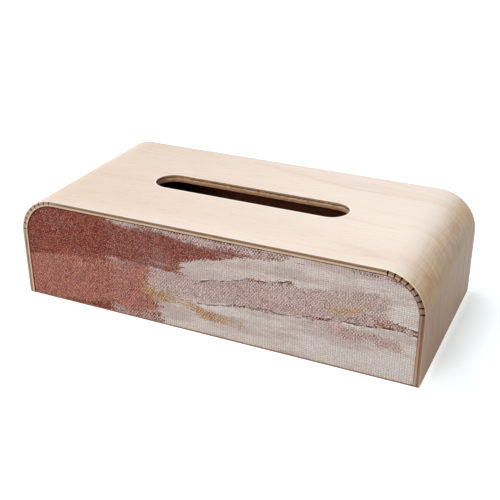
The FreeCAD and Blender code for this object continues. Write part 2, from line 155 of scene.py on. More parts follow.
def new_finish(name):
    """New material and its tree."""
    material = bpy.data.materials.new(name)
    material.use_nodes = True
    return material, material.node_tree


def finished(material, colour, roughness, height, relief, others=None):
    """The material with its shader's inputs. Relief is how high its bump is where height is 1."""
    bump = height.then("ShaderNodeBump", None, {"Height": height, "Distance": relief})
    Wire.feed(material.node_tree.nodes["Principled BSDF"], {
        "Base Color": colour, "Roughness": roughness, "Normal": bump, **(others or {})})
    return material


shell_low, shell_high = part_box("face_veneer")
corner_radius = 27.5 * mm
veneer_thickness = 0.4 * mm
veneer_edge_round = 0.22 * mm
kerf_count = 9
kerf_pitch = math.radians(9.6)
facet_depth = 0.06 * mm
bend_steps = 90
bend_x = shell_high.x - corner_radius
bend_z = shell_high.z - corner_radius
slot_length = 143 * mm
slot_width = 25 * mm


def veneer_finish():
    """Pale maple veneer: growth rings as soft pinkish lines, fine fibres and a satin coat.

    The iron that bent it has toasted the two bends a little and left fine creases across them.
    Past the middle of each bend and down both walls the veneer is darker and browner: painted
    shade of the walls, which get far less light than the top.
    """
    material, tree = new_finish("maple_veneer")
    sheet = Wire.node(tree, "ShaderNodeUVMap", {"uv_map": "flat_sheet"})
    along, across, _ = sheet.split()
    into_bend = (abs(along) - bend_x) / corner_radius
    on_bend = into_bend.step(0.3, 0.95) * into_bend.step(1.7, 1.3)
    past_bend = into_bend.step(0.75, 1.4)
    sway = noise(vector(along * 9.0, across * 13.0)) - 0.5
    wavy = across + sway * 0.02
    growth = noise(vector(along * 2.4, wavy * 24.0, 3.7), detail=1.0) * 9.0
    ring = abs(growth.math("FRACT") - 0.5) * 2.0
    cloud = noise(vector(along * 5.0, wavy * 40.0, 8.2), detail=3.0)
    broad = noise(vector(along * 3.0, wavy * 15.0, 5.1))
    fibre = noise(vector(along * 42.0, across * 950.0), detail=3.0, roughness=0.6)
    pore = noise(vector(along * 150.0, across * 1700.0, 5.9), detail=1.0)
    crease = noise(vector(along * 760.0, across * 42.0, 2.2), detail=3.0, roughness=0.6)
    darker_end = along.step(120 * mm, -150 * mm) * 0.75 + broad.step(0.4, 0.75) * 0.25
    pale = darker_end.mix(paint(247, 233, 221), paint(224, 203, 184))
    ringed = (ring.step(0.78, 1.0) * cloud.step(0.4, 0.66) * 0.36).mix(pale, paint(214, 178, 154))
    figured = (cloud.step(0.5, 0.78) * 0.45).mix(ringed, paint(221, 190, 168))
    fine = darker_end * 0.34 + 0.18 + on_bend * 0.45
    threaded = (fibre.step(0.44, 0.82) * fine).mix(figured, paint(204, 172, 146))
    dashed = (pore.step(0.66, 0.76) * fine).mix(threaded, paint(166, 128, 100))
    grown = noise(vector(along * 14.0, wavy * 330.0, 1.6), detail=3.0, roughness=0.6)
    # Painted shade: past the middle of each bend and down both walls the veneer is darker and browner, its
    # streaks there darker still, as the walls get far less light than the top.
    painted_side_shade = (past_bend * 0.875).mix(dashed, paint(179, 127, 77))
    striped = (past_bend * grown.step(0.4, 0.66) * 0.55).mix(painted_side_shade, paint(148, 99, 56))
    scorch = noise(vector(along * 34.0, across * 24.0, 9.4), detail=4.0, roughness=0.6)
    ironed = (on_bend * (scorch.step(0.36, 0.6) * 0.4 + 0.4)).mix(striped, paint(216, 181, 124))
    dulled = (on_bend * scorch.step(0.5, 0.36) * 0.26).mix(ironed, paint(194, 172, 152))
    ember = noise(vector(along * 46.0, across * 38.0, 4.1), detail=4.0, roughness=0.6).step(0.48, 0.66)
    burnt = (on_bend * into_bend.step(0.5, 0.9) * ember * 0.5).mix(dulled, paint(188, 120, 74))
    combed = (on_bend * grown.step(0.42, 0.62) * 0.34).mix(burnt, paint(190, 138, 98))
    creased = (on_bend * crease.step(0.42, 0.66) * 0.46).mix(combed, paint(192, 154, 114))
    # Painted highlight: a near-white line along the slot's rim and along the front and rear arrises,
    # fainter down the walls, where the rounded edges catch the light.
    beside_slot = (abs(along) - (slot_length - slot_width) / 2).math("MAXIMUM", 0.0)
    from_slot = (beside_slot * beside_slot + across * across).math("SQRT") - slot_width / 2
    at_slot = from_slot.step(1.8 * mm, 0.5 * mm) * 1.7
    at_rim = abs(across).step(shell_high.y - 1.0 * mm, shell_high.y - 0.3 * mm)
    painted_arris_highlight = at_slot.math("MAXIMUM", at_rim)
    colour = (painted_arris_highlight * (0.5 - past_bend * 0.36)).mix(creased, paint(255, 245, 233))
    height = fibre * 0.7 + pore * 0.3 + on_bend * crease * 0.4
    return finished(material, colour, 0.4 + fibre * 0.2, height, 0.03 * mm, {
        "Coat Weight": 0.08, "Coat Roughness": 0.35})


def bend_path():
    """Line round the shell's outer surface, left foot to right foot.

    Each entry is a point in X and Z, the direction out of the surface, and the length from the
    middle of the top.
    """
    points = [(-shell_high.x, shell_low.z), (-shell_high.x, (shell_low.z + bend_z) / 2)]
    half_span = kerf_pitch * (kerf_count - 1) / 2
    for side in (-1, 1):
        for step in range(bend_steps + 1):
            turn = math.pi / 2 * step / bend_steps
            lean = turn if side > 0 else math.pi / 2 - turn
            from_kerf = (lean - math.pi / 4 + half_span) / kerf_pitch
            fade = math.sin(2 * lean) ** 0.5 if 0 < lean < math.pi / 2 else 0.0
            radius = corner_radius - facet_depth * fade * (1 - math.cos(2 * math.pi * from_kerf)) / 2
            points.append((side * (bend_x + radius * math.sin(lean)), bend_z + radius * math.cos(lean)))
    points += [(shell_high.x, (shell_low.z + bend_z) / 2), (shell_high.x, shell_low.z)]
    half = bend_x + corner_radius * math.pi / 2 + bend_z - shell_low.z
    path, length = [], -half
    for index, (x, z) in enumerate(points):
        before = Vector(points[max(index - 1, 0)])
        after = Vector(points[min(index + 1, len(points) - 1)])
        onward = (after - before).normalized()
        if index:
            length += (Vector((x, z)) - before).length
        path.append((Vector((x, z)), Vector((-onward.y, onward.x)), length))
    return path


def put_in_scene(name, data):
    """New object that holds a mesh, a lamp or a camera."""
    holder = bpy.data.objects.new(name, data)
    bpy.context.scene.collection.objects.link(holder)
    return holder


def piece_from(name, shape):
    """New piece from a bmesh, which is used up."""
    bmesh.ops.recalc_face_normals(shape, faces=shape.faces)
    mesh = bpy.data.meshes.new(name)
    shape.to_mesh(mesh)
    shape.free()
    return put_in_scene(name, mesh)


def swept_sheet(name, section, path):
    """Solid with one section, given as depth under the surface and place along Y, along the path.

    The UV map flat_sheet holds the length along the path and the place along Y, in metres.
    """
    shape = bmesh.new()
    flat = shape.loops.layers.uv.new("flat_sheet")
    rings = []
    length_at = {}
    for point, outward, length in path:
        ring = []
        for depth, y in section:
            place = point - outward * depth
            ring.append(shape.verts.new((place.x, y, place.y)))
        rings.append(ring)
        length_at.update(dict.fromkeys(ring, length))
    for ring, following in zip(rings, rings[1:]):
        for index in range(len(ring)):
            other = (index + 1) % len(ring)
            shape.faces.new((ring[index], following[index], following[other], ring[other]))
    for ring in (rings[0], rings[-1]):
        shape.faces.new(ring)
    for face in shape.faces:
        for loop in face.loops:
            loop[flat].uv = (length_at[loop.vert], loop.vert.co.y)
    return piece_from(name, shape)


def settle(piece, sharp=35.0):
    """Turn what the modifiers give into the piece's own mesh, smooth but for edges sharper than this."""
    graph = bpy.context.evaluated_depsgraph_get()
    mesh = bpy.data.meshes.new_from_object(piece.evaluated_get(graph))
    piece.modifiers.clear()
    piece.data = mesh
    mesh.shade_smooth()
    mesh.set_sharp_from_angle(angle=math.radians(sharp))
    return piece


def cut(piece, cutter):
    """Take the cutter's shape out of the piece."""
    boolean = piece.modifiers.new("cut", "BOOLEAN")
    boolean.operation = "DIFFERENCE"
    boolean.solver = "EXACT"
    boolean.object = cutter


def prism(name, rim, low, high):
    """Upright solid between two heights, with a rim of X and Y points."""
    shape = bmesh.new()
    bottom = [shape.verts.new((x, y, low)) for x, y in rim]
    top = [shape.verts.new((x, y, high)) for x, y in rim]
    for index in range(len(rim)):
        other = (index + 1) % len(rim)
        shape.faces.new((bottom[index], bottom[other], top[other], top[index]))
    shape.faces.new(bottom[::-1])
    shape.faces.new(top)
    return piece_from(name, shape)


def slot_rim(steps=28):
    """Outline of the tissue slot, a straight slot with round ends."""
    reach, radius = (slot_length - slot_width) / 2, slot_width / 2
    rim = []
    for side in (1, -1):
        for step in range(steps + 1):
            turn = math.pi * (step / steps - 0.5)
            rim.append((side * (reach + radius * math.cos(turn)), side * radius * math.sin(turn)))
    return rim


def rounded_strip(depth_in, radius, steps=4):
    """Section of a thin sheet whose two outer arrises, at the front and the rear, are rounded."""
    front, rear = shell_low.y, shell_high.y
    section = [(depth_in, rear), (depth_in, front)]
    for step in range(steps + 1):
        turn = math.pi / 2 * step / steps
        section.append((radius * (1 - math.sin(turn)), front + radius * (1 - math.cos(turn))))
    for step in range(steps + 1):
        turn = math.pi / 2 * step / steps
        section.append((radius * (1 - math.cos(turn)), rear - radius * (1 - math.sin(turn))))
    return section


shell_path = bend_path()
slot_cutter = prism("slot_cutter", slot_rim(), bend_z, shell_high.z + corner_radius)
veneer = swept_sheet("veneer_skin", rounded_strip(veneer_thickness, veneer_edge_round), shell_path)
veneer.data.materials.append(veneer_finish())
cut(veneer, slot_cutter)
settle(veneer)
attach(veneer, "case")
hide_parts("face_veneer")


# ---- Bent board -------------------------------------------------------------------------------
# The plywood under the veneer. Its layers show as darker and lighter bands on the front rim and
# in the slot. Nine saw kerfs cross each bend, wide under the veneer and nearly shut at the inside.
# On the left bend they are glued quite shut there.

board_inner = 5.2 * mm
shoulder_depth = 3.7 * mm
rabbet_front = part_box("art_board")[1].y
rabbet_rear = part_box("back_panel")[0].y
kerf_saw = 0.95 * mm
kerf_web = 0.2 * mm
kerf_floor_radius = corner_radius - veneer_thickness - kerf_web
kerf_mouth_radius = corner_radius - board_inner - 0.1 * mm
kerf_mouth = kerf_saw - math.pi / 2 / kerf_count * (kerf_floor_radius - kerf_mouth_radius)
shut_kerf_radius = corner_radius - 3.5 * mm
shut_kerf_saw = 1.0 * mm
shut_kerf_mouth = 0.12 * mm


def place_in(tree):
    """Place of the point that is shaded, in the object's coordinates."""
    return Wire.node(tree, "ShaderNodeTexCoord", output="Object")


def depth_below_surface(place):
    """Depth of a place under the shell's outer surface, from its object coordinates."""
    x, _, z = place.split()
    beside = (abs(x) - bend_x).math("MAXIMUM", 0.0)
    above = (z - bend_z).math("MAXIMUM", 0.0)
    return corner_radius - (beside * beside + above * above).math("SQRT")


def beside_kerf(place, depth):
    """1 on the right bend along the edges of the saw kerfs, which taper, and 0 away from them."""
    x, _, z = place.split()
    beside = x - bend_x
    above = z - bend_z
    lean = beside.math("ARCTAN2", above)
    turn = abs(((lean - math.pi / 4) / kerf_pitch + 0.5).math("FRACT") - 0.5) * kerf_pitch
    gap = turn * (beside * beside + above * above).math("SQRT") + depth * 0.08
    on_bend = abs(lean - math.pi / 4).step(kerf_pitch * 4.6, kerf_pitch * 4.4)
    return gap.step(1.0 * mm, 0.55 * mm) * on_bend


def plywood_finish():
    """Sawn edge of the bent plywood: brown cross layer, pale inner layer, torn fibres between.

    The sawn edge is darker beside the kerfs of the right bend.
    """
    material, tree = new_finish("plywood_edge")
    place = place_in(tree)
    depth = depth_below_surface(place)
    x, y, z = place.split()
    along, _, _ = Wire.node(tree, "ShaderNodeUVMap", {"uv_map": "flat_sheet"}).split()
    ragged = noise(vector(x * 420.0, y * 420.0, z * 420.0), detail=3.0) - 0.5
    in_slot = abs(y).step(18 * mm, 15 * mm)
    layer = (depth + ragged * (0.35 * mm) + in_slot * (0.3 * mm)) / board_inner
    bands = layer.then("ShaderNodeValToRGB", {"stops": [
        (0.00, paint(216, 186, 160)), (0.11, paint(194, 161, 135)), (0.15, paint(163, 128, 103)),
        (0.26, paint(146, 112, 86)), (0.37, paint(143, 108, 80)), (0.46, paint(212, 180, 150)),
        (0.61, paint(231, 200, 169)), (0.71, paint(216, 183, 152)), (0.79, paint(150, 115, 90)),
        (1.00, paint(160, 124, 97))]}, {0: layer})
    fibre = noise(vector(x * 150.0, y * 150.0 + depth * 4200.0, z * 150.0), detail=4.0, roughness=0.65)
    bleached = (along.step(-106 * mm, -130 * mm) * 0.2).mix(bands, paint(232, 204, 178))
    worn = (along.step(-104 * mm, -120 * mm) * along.step(-166 * mm, -150 * mm) * 0.4).mix(
        bleached, paint(222, 188, 164))
    browned = (along.step(104 * mm, 128 * mm) * 0.45).mix(worn, paint(162, 108, 66))
    shaded = (along.step(204 * mm, 162 * mm) * along.step(120 * mm, 150 * mm) * 0.4).mix(
        browned, paint(84, 56, 36))
    # Painted light: the slot's walls are made lighter and warmer, for the warm light that bounces about
    # inside the slot.
    painted_slot_bounce = (in_slot * 0.45).mix(shaded, paint(236, 176, 118))
    chip = noise(vector(x * 380.0, y * 380.0 + depth * 2600.0, z * 380.0), detail=3.0, roughness=0.7)
    chipped = (in_slot * chip.step(0.5, 0.64) * 0.6).mix(painted_slot_bounce, paint(92, 58, 38))
    pale_layer = depth.step(2.1 * mm, 2.6 * mm) * depth.step(3.8 * mm, 3.2 * mm)
    torn = in_slot * chip.step(0.5, 0.38) * pale_layer * 0.9
    frayed = torn.mix(chipped, paint(250, 228, 204))
    dark = (fibre.step(0.46, 0.74) * 0.4).mix(frayed, paint(92, 62, 44))
    tear = noise(vector(x * 240.0, y * 240.0 + depth * 900.0, z * 240.0))
    seam = abs(depth - 1.9 * mm).step(0.5 * mm, 0.15 * mm) * tear.step(0.3, 0.48)
    split = (seam * (in_slot * 0.4 + 0.48)).mix(dark, paint(50, 29, 18))
    # Painted light: the inner face of the rabbet beside the canvas is a lighter red-brown, for the light
    # that the red canvas bounces onto it in that narrow gap.
    in_rabbet = depth.step(shoulder_depth - 0.1 * mm, shoulder_depth) * abs(y).step(60 * mm, 62 * mm)
    tinted = (in_rabbet * 0.9).mix(split, paint(176, 92, 60))
    # The sawn edge is darker beside the kerfs of the right bend.
    darker_by_kerfs = beside_kerf(place, depth) * depth.step(0.45 * mm, 0.9 * mm)
    colour = (darker_by_kerfs * 0.7).mix(tinted, paint(46, 27, 16))
    return finished(material, colour, 0.72, fibre - seam, 0.12 * mm)


def kerf_wall_finish(name, deep, brown):
    """Very dark, mottled walls of the saw kerfs."""
    material, tree = new_finish(name)
    x, y, z = place_in(tree).split()
    kerf_mottle = noise(vector(x * 900.0, y * 300.0, z * 900.0), detail=3.0)
    return finished(material, kerf_mottle.mix(deep, brown), 0.95, kerf_mottle, 0.1 * mm, {"Specular IOR Level": 0.05})


def open_tree(tree_name, **sockets):
    """New Geometry Nodes tree, with the names of its inputs by kind. Returns it and the inputs."""
    tree = bpy.data.node_groups.new(tree_name, "GeometryNodeTree")
    for kind, names in sockets.items():
        for name in names:
            tree.interface.new_socket(name, in_out="INPUT", socket_type=f"NodeSocket{kind}")
    entry = tree.nodes.new("NodeGroupInput")
    return tree, {socket.name: Wire(tree, socket) for socket in entry.outputs}


def close_tree(tree, result):
    """The Geometry Nodes tree with its one output, the geometry that it makes."""
    tree.interface.new_socket("Result", in_out="OUTPUT", socket_type="NodeSocketGeometry")
    Wire.feed(tree.nodes.new("NodeGroupOutput"), {0: result})
    return tree


def kerf_tree():
    """Geometry Nodes that saw a fan of tapered kerfs across one bend."""
    tree, given = open_tree(
        "saw_kerfs", Geometry=["Board"], Int=["Count"], Vector=["Centre"], Material=["Kerf Walls"],
        Float=["Pitch", "Floor Width", "Mouth Width", "Floor Radius", "Mouth Radius", "Length", "Side"])
    block =Wire.node(tree, "GeometryNodeMeshCube")
    x, y, z = Wire.node(tree, "GeometryNodeInputPosition").split()
    rise = z + 0.5
    width = given["Mouth Width"] + (given["Floor Width"] - given["Mouth Width"]) * rise
    radius = given["Mouth Radius"] + (given["Floor Radius"] - given["Mouth Radius"]) * rise
    wedge = block.through("SetPosition", Position=vector(x * width, y * given["Length"], radius))
    middle = (given["Count"] - 1.0) * 0.5
    index = Wire.node(tree, "GeometryNodeInputIndex")
    lean = ((index - middle) * given["Pitch"] + math.pi / 4) * given["Side"]
    points = given["Count"].then("GeometryNodePoints", None, {
        "Count": given["Count"], "Position": given["Centre"]})
    fan = wedge.laid_on(points, vector(0.0, lean)).through("RealizeInstances")
    lined_fan = fan.through("SetMaterial", Material=given["Kerf Walls"])
    sawn = lined_fan.then("GeometryNodeMeshBoolean", {"operation": "DIFFERENCE", "solver": "EXACT"}, {
        "Mesh 1": given["Board"], "Mesh 2": lined_fan})
    return close_tree(tree, sawn)


def run_nodes(piece, tree, values):
    """Add a Geometry Nodes modifier to a piece and give it its inputs by their names."""
    modifier = piece.modifiers.new(tree.name, "NODES")
    modifier.node_group = tree
    for item in tree.interface.items_tree:
        if item.in_out == "INPUT" and item.name in values:
            modifier[item.identifier] = values[item.name]


board_section = [
    (veneer_thickness, shell_high.y), (shoulder_depth, shell_high.y), (shoulder_depth, rabbet_rear),
    (board_inner, rabbet_rear), (board_inner, rabbet_front), (shoulder_depth, rabbet_front),
    (shoulder_depth, shell_low.y), (veneer_thickness, shell_low.y)]
board = swept_sheet("kerfed_board", board_section, shell_path)
board.data.materials.append(plywood_finish())
# The open kerfs' walls are near black and the shut ones a dark mottled brown.
open_kerf_finish = kerf_wall_finish("open_kerf_walls", paint(4, 3, 2), paint(22, 14, 10))
shut_kerf_finish = kerf_wall_finish("shut_kerf_walls", paint(34, 14, 6), paint(72, 34, 18))
cut(board, slot_cutter)
settle(board)
saw_kerfs = kerf_tree()
for side, floor_width, mouth_width, mouth_radius, wall_finish in (
        (1, kerf_saw, kerf_mouth, kerf_mouth_radius, open_kerf_finish),
        (-1, shut_kerf_saw, shut_kerf_mouth, shut_kerf_radius, shut_kerf_finish)):
    run_nodes(board, saw_kerfs, {
        "Count": kerf_count, "Pitch": kerf_pitch, "Floor Width": floor_width,
        "Mouth Width": mouth_width, "Floor Radius": kerf_floor_radius,
        "Mouth Radius": mouth_radius, "Length": (shell_high.y - shell_low.y) * 1.1,
        "Centre": (side * bend_x, 0.0, bend_z), "Side": float(side), "Kerf Walls": wall_finish})
settle(board)
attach(board, "case")
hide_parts("bent_board")
bpy.data.objects.remove(slot_cutter)


# ---- Boards of the case and the drawer --------------------------------------------------------
# The floor and back of the case are birch plywood. The drawer is very dark reddish-brown lauan plywood
# on a darker hardboard bottom, and the runners and the stop batten are beech. All have sanded arrises.

def timber_finish(name, pale, deep, grain, contrast=1.0):
    """Bare planed timber with its grain along one axis: 0 for X, 1 for Y."""
    material, tree = new_finish(name)
    x, y, z = place_in(tree).split()
    along, side = (x, y) if grain == 0 else (y, x)
    wavy = side + (noise(vector(along * 9.0, side * 20.0, z * 20.0)) - 0.5) * 0.012
    ring = noise(vector(along * 6.0, wavy * 90.0, z * 90.0), detail=4.0, roughness=0.6)
    fibre = noise(vector(along * 60.0, side * 1100.0, z * 1100.0))
    pore = noise(vector(along * 110.0, side * 1900.0, z * 1900.0), detail=1.0)
    figured = (ring.step(0.38, 0.72) * contrast).mix(pale, deep)
    dusk = (*[channel * 0.55 for channel in deep[:3]], 1.0)
    threaded = (fibre.step(0.45, 0.8) * 0.25).mix(figured, dusk)
    colour = (pore.step(0.66, 0.76) * 0.45).mix(threaded, dusk)
    return finished(material, colour, 0.55 + fibre * 0.15, fibre - pore * 0.5, 0.06 * mm, {
        "Specular IOR Level": 0.25})


def eased_board(node, name, body, finish, width=0.35 * mm):
    """Copy of a plain board with its sharp edges rounded, in place of that board."""
    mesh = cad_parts[node].data.copy()
    mesh.materials.clear()
    mesh.materials.append(finish)
    shape = bmesh.new()
    shape.from_mesh(mesh)
    bmesh.ops.remove_doubles(shape, verts=shape.verts, dist=0.002 * mm)
    bmesh.ops.dissolve_limit(
        shape, angle_limit=math.radians(0.5), verts=shape.verts, edges=shape.edges)
    shape.to_mesh(mesh)
    shape.free()
    piece = put_in_scene(name, mesh)
    bevel =piece.modifiers.new("sanded", "BEVEL")
    bevel.width = width
    bevel.segments = 2
    bevel.limit_method = "ANGLE"
    bevel.angle_limit = math.radians(40)
    settle(piece)
    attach(piece, body)
    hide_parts(node)


panel_birch = timber_finish("panel_birch", paint(226, 202, 170), paint(200, 166, 128), 0)
# The drawer's lauan is a very dark reddish brown and its hardboard darker still.
lauan = (paint(136, 76, 46), paint(100, 50, 29))
lauan_across = timber_finish("lauan_across", *lauan, 0)
lauan_along = timber_finish("lauan_along", *lauan, 1)
hardboard = timber_finish("hardboard", paint(76, 29, 12), paint(60, 22, 9), 0, 0.5)
beech = (paint(214, 174, 134), paint(182, 136, 98))
beech_along = timber_finish("beech_along", *beech, 1)
beech_across = timber_finish("beech_across", *beech, 0)

eased_board("back_panel", "rear_board", "case", panel_birch)
eased_board("base_board", "floor_board", "case", panel_birch)
eased_board("runner_left", "left_runner_strip", "case", beech_along)
eased_board("runner_right", "right_runner_strip", "case", beech_along)
eased_board("stop_batten", "batten", "case", beech_across)
eased_board("drawer_box_front", "box_front", "drawer", lauan_across)
eased_board("drawer_back", "box_back", "drawer", lauan_across)
eased_board("drawer_side_left", "left_side", "drawer", lauan_along)
eased_board("drawer_side_right", "right_side", "drawer", lauan_along)
eased_board("drawer_bottom", "tray_floor", "drawer", hardboard, 0.15 * mm)
eased_board("art_board", "canvas_backing", "drawer", panel_birch, 0.25 * mm)


# ---- Screws and pins --------------------------------------------------------------------------
# Four zinc-plated pan-head screws hold the canvas panel to the drawer box from the inside. Eight
# thin steel pins, dimpled where they were punched in, hold the box front and back to the sides.

def steel_finish():
    """Zinc-plated steel with a faint warm bloom and fine scratches."""
    material, tree = new_finish("zinc_steel")
    x, y, z = place_in(tree).split()
    bloom = noise(vector(x * 500.0, y * 500.0, z * 500.0), detail=3.0)
    scratch = noise(vector(x * 900.0, y * 900.0, z * 6000.0), detail=1.0)
    colour = bloom.step(0.35, 0.7).mix(paint(206, 204, 200), paint(176, 172, 160))
    return finished(material, colour, 0.28 + bloom * 0.2, scratch, 0.01 * mm, {"Metallic": 1.0})


def turned(name, profile, sides=24):
    """Round solid about the Y axis from its profile, given as radius and place along Y."""
    shape = bmesh.new()
    turns = [math.tau * side / sides for side in range(sides)]
    rings = []
    for radius, y in profile:
        if radius > 0.0:
            places = [(radius * math.cos(turn), y, radius * math.sin(turn)) for turn in turns]
            rings.append([shape.verts.new(place) for place in places])
        else:
            rings.append([shape.verts.new((0.0, y, 0.0))] * sides)
    for ring, following in zip(rings, rings[1:]):
        for side in range(sides):
            corners = (ring[side - 1], ring[side], following[side], following[side - 1])
            shape.faces.new(list(dict.fromkeys(corners)))
    return piece_from(name, shape)


def cross_punch():
    """Tapered cross that sinks the recess into a screw's head."""
    arm, half = 1.5 * mm, 0.36 * mm
    corner = [(arm, half), (half, half), (half, arm)]
    rim = []
    for _ in range(4):
        rim += corner
        corner = [(-z, x) for x, z in corner]
    shape = bmesh.new()
    rings = [[shape.verts.new((x * scale, y, z * scale)) for x, z in rim]
             for y, scale in ((0.5 * mm, 0.5), (2.0 * mm, 1.15))]
    for index in range(len(rim)):
        other = (index + 1) % len(rim)
        shape.faces.new((rings[0][index], rings[0][other], rings[1][other], rings[1][index]))
    for ring in rings:
        shape.faces.new(ring)
    return piece_from("cross_punch", shape)


def fastener_tree():
    """Geometry Nodes that drive one fastener at every point, each turned round by its own amount."""
    tree, given = open_tree(
        "drive_fasteners", Geometry=["Places"], Object=["Fastener"], Int=["Seed"], Material=["Finish"])
    model =Wire.node(tree, "GeometryNodeObjectInfo", None, {"Object": given["Fastener"]}, "Geometry")
    turn = Wire.node(tree, "FunctionNodeRandomValue", {"data_type": "FLOAT"}, {
        2: 0.0, 3: math.tau, "Seed": given["Seed"]}, 1)
    _, y, _ = Wire.node(tree, "GeometryNodeInputPosition").split()
    from_rear = y.math("GREATER_THAN", 0.0) * math.pi
    placed = model.laid_on(given["Places"], vector(0.0, turn, from_rear)).through("RealizeInstances")
    return close_tree(tree, placed.through("SetMaterial", Material=given["Finish"]))


def plain_piece(name, places, faces=()):
    """New piece from its points, and its faces where it has them."""
    mesh = bpy.data.meshes.new(name)
    mesh.from_pydata(places, [], faces)
    return put_in_scene(name, mesh)


def driven(name, fastener, places, tree, finish, seed):
    """Piece that holds one copy of the fastener at each place."""
    piece = plain_piece(name, places)
    run_nodes(piece, tree, {"Fastener": fastener, "Seed": seed, "Finish": finish})
    return settle(piece, 30.0)


zinc_steel = steel_finish()
fasteners = fastener_tree()
core_radius = 1.2 * mm
thread_radius = 1.5 * mm
head_radius = 2.8 * mm
head_height = 1.6 * mm
screw_profile = [(0.0, -6.3 * mm), (0.5 * mm, -6.0 * mm)]
for turn in range(13):
    screw_profile.append(((core_radius, thread_radius)[turn % 2], (-5.2 + 0.4 * turn) * mm))
screw_profile += [
    (core_radius, 0.0), (head_radius, 0.0), (head_radius, 0.4 * mm), (2.65 * mm, 0.9 * mm),
    (2.2 * mm, 1.3 * mm), (1.4 * mm, 1.53 * mm), (0.0, head_height)]
screw = turned("screw_model", screw_profile)
punch = cross_punch()
cut(screw, punch)
settle(screw, 30.0)
pin_radius = 0.6 * mm
pin_length = 14.0 * mm
pin = turned("pin_model", [
    (0.0, pin_length), (0.25 * mm, 13.8 * mm), (pin_radius, 12.8 * mm), (pin_radius, 0.1 * mm),
    (0.5 * mm, 0.0), (0.22 * mm, 0.0), (0.0, 0.15 * mm)], 16)
screw_low, screw_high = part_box("panel_screws")
screws = driven("canvas_screws", screw, [
    (x, screw_high.y - head_height, z) for x in (screw_low.x + head_radius, screw_high.x - head_radius)
    for z in (screw_low.z + head_radius, screw_high.z - head_radius)], fasteners, zinc_steel, 3)
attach(screws, "drawer")
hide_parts("panel_screws")
pin_low, pin_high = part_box("drawer_pins")
pins = driven("corner_pins", pin, [
    (x, y, z) for x in (pin_low.x + pin_radius, pin_high.x - pin_radius) for y in (pin_low.y, pin_high.y)
    for z in (pin_low.z + pin_radius, pin_high.z - pin_radius)], fasteners, zinc_steel, 5)
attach(pins, "drawer")
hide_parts("drawer_pins")
for spare in (screw, punch, pin):
    bpy.data.objects.remove(spare)


# ---- Canvas front -----------------------------------------------------------------------------
# Coarse cotton canvas, primed with an upright comb, painted in loose dry-brushed strokes, pulled
# over the board behind it and glued on its edges. The thicker strokes stand a little proud.

canvas_low, canvas_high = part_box("front_canvas")
canvas_corner = 23.5 * mm
canvas_fold = 0.5 * mm
warp_pitch = 1.04 * mm
weft_pitch = 1.34 * mm
comb_pitch = 1.57 * mm
canvas_columns = 360
corner_columns = 42
canvas_rows = 110
paint_thickness = 0.3 * mm


def stroke(u, v, crumble, centre, size, turn, load, seed):
    """One dry-brushed stroke at a place: how much paint lies there, and the lip along its low edge.

    Centre and size are in metres, turn is in degrees, and load is how full the brush was. The lip
    is 1 on its crest and -1 in the groove under it.
    """
    cosine, sine = math.cos(math.radians(turn)), math.sin(math.radians(turn))
    along = (u - centre[0]) * cosine + (v - centre[1]) * sine
    side = (v - centre[1]) * cosine - (u - centre[0]) * sine
    bristle = noise(vector(along * 20.0, side * 480.0, seed), detail=3.0) - 0.5
    wander = noise(vector(along * 24.0, side * 14.0, seed + 3.1), detail=3.0) - 0.5
    end = abs(along + bristle * (24 * mm) + crumble * (5 * mm)) - size[0] / 2
    edge = side + wander * (15 * mm) + crumble * (4 * mm)
    beyond = abs(edge) - size[1] / 2
    inside = end.step(5 * mm, -10 * mm) * beyond.step(2.2 * mm, -4 * mm)
    cover = inside * (load + bristle * 0.65 + wander * 0.95)
    rim = side + wander * (15 * mm) + bristle * (2 * mm) + crumble * (2 * mm) + (size[1] / 2 - 1.2 * mm)
    lip = abs(rim).step(1.0 * mm, 0.2 * mm) - abs(rim + 1.1 * mm).step(0.95 * mm, 0.25 * mm)
    thick = max(load - 0.6, 0.0) * 2.8
    return cover, lip * wander.step(-0.06, 0.03) * end.step(-2 * mm, -12 * mm) * thick


def strokes(u, v, crumble):
    """The painting's strokes from the first laid to the last: their paint and their colour."""
    laid = []

    def lay(centre, size, turn, load, colour):
        laid.append((stroke(u, v, crumble, centre, size, turn, load, len(laid) + 1.0), colour))

    lay((0.050, 0.036), (0.254, 0.100), 0, 0.60, paint(205, 185, 178))
    lay((-0.100, 0.020), (0.130, 0.036), 6, 0.68, paint(176, 110, 97))
    lay((0.064, 0.013), (0.200, 0.034), 183, 0.96, paint(225, 212, 204))
    lay((-0.050, 0.054), (0.190, 0.030), -4, 0.68, paint(119, 38, 27))
    lay((0.106, 0.056), (0.100, 0.026), -7, 0.94, paint(228, 214, 206))
    lay((0.040, 0.039), (0.170, 0.020), 6, 0.88, paint(204, 179, 171))
    lay((-0.010, 0.018), (0.084, 0.011), -9, 0.58, paint(186, 150, 106))
    lay((0.024, 0.054), (0.090, 0.016), 12, 0.92, paint(222, 207, 198))
    lay((0.080, 0.029), (0.110, 0.012), -5, 0.56, paint(192, 164, 156))
    lay((0.098, 0.043), (0.050, 0.007), 12, 0.56, paint(190, 154, 108))
    return laid


def weave(u, v):
    """Plain weave: its height, from 0 in its pits to 1 on its threads, its ribs, its check and its knots.

    The ribs are the comb's. A knot is where two threads cross, and takes the paint by its own chance,
    from 0 to 1.
    """
    drift = noise(vector(u * 45.0, v * 45.0)) - 0.5
    combed = ((u + drift * (0.5 * mm)) * (math.pi / comb_pitch)).math("COSINE")
    across = (u + drift * (0.5 * mm)) / warp_pitch
    upward = (v + drift * (0.5 * mm)) / weft_pitch
    warp = (across * math.pi).math("COSINE")
    weft = (upward * math.pi).math("COSINE")
    over = warp * weft * 0.5
    height = (warp * warp * (0.5 + over)).math("MAXIMUM", weft * weft * (0.5 - over))
    crossing = vector(across.math("ROUND"), upward.math("ROUND"))
    knot = crossing.then("ShaderNodeTexWhiteNoise", {"noise_dimensions": "2D"}, {"Vector": crossing})
    return height, combed * combed, over * 2.0, knot


def crumble_at(u, v):
    """Grain that breaks up the edges of every stroke, from -0.5 to 0.5."""
    return noise(vector(u * 300.0, v * 300.0, 7.7)) - 0.5


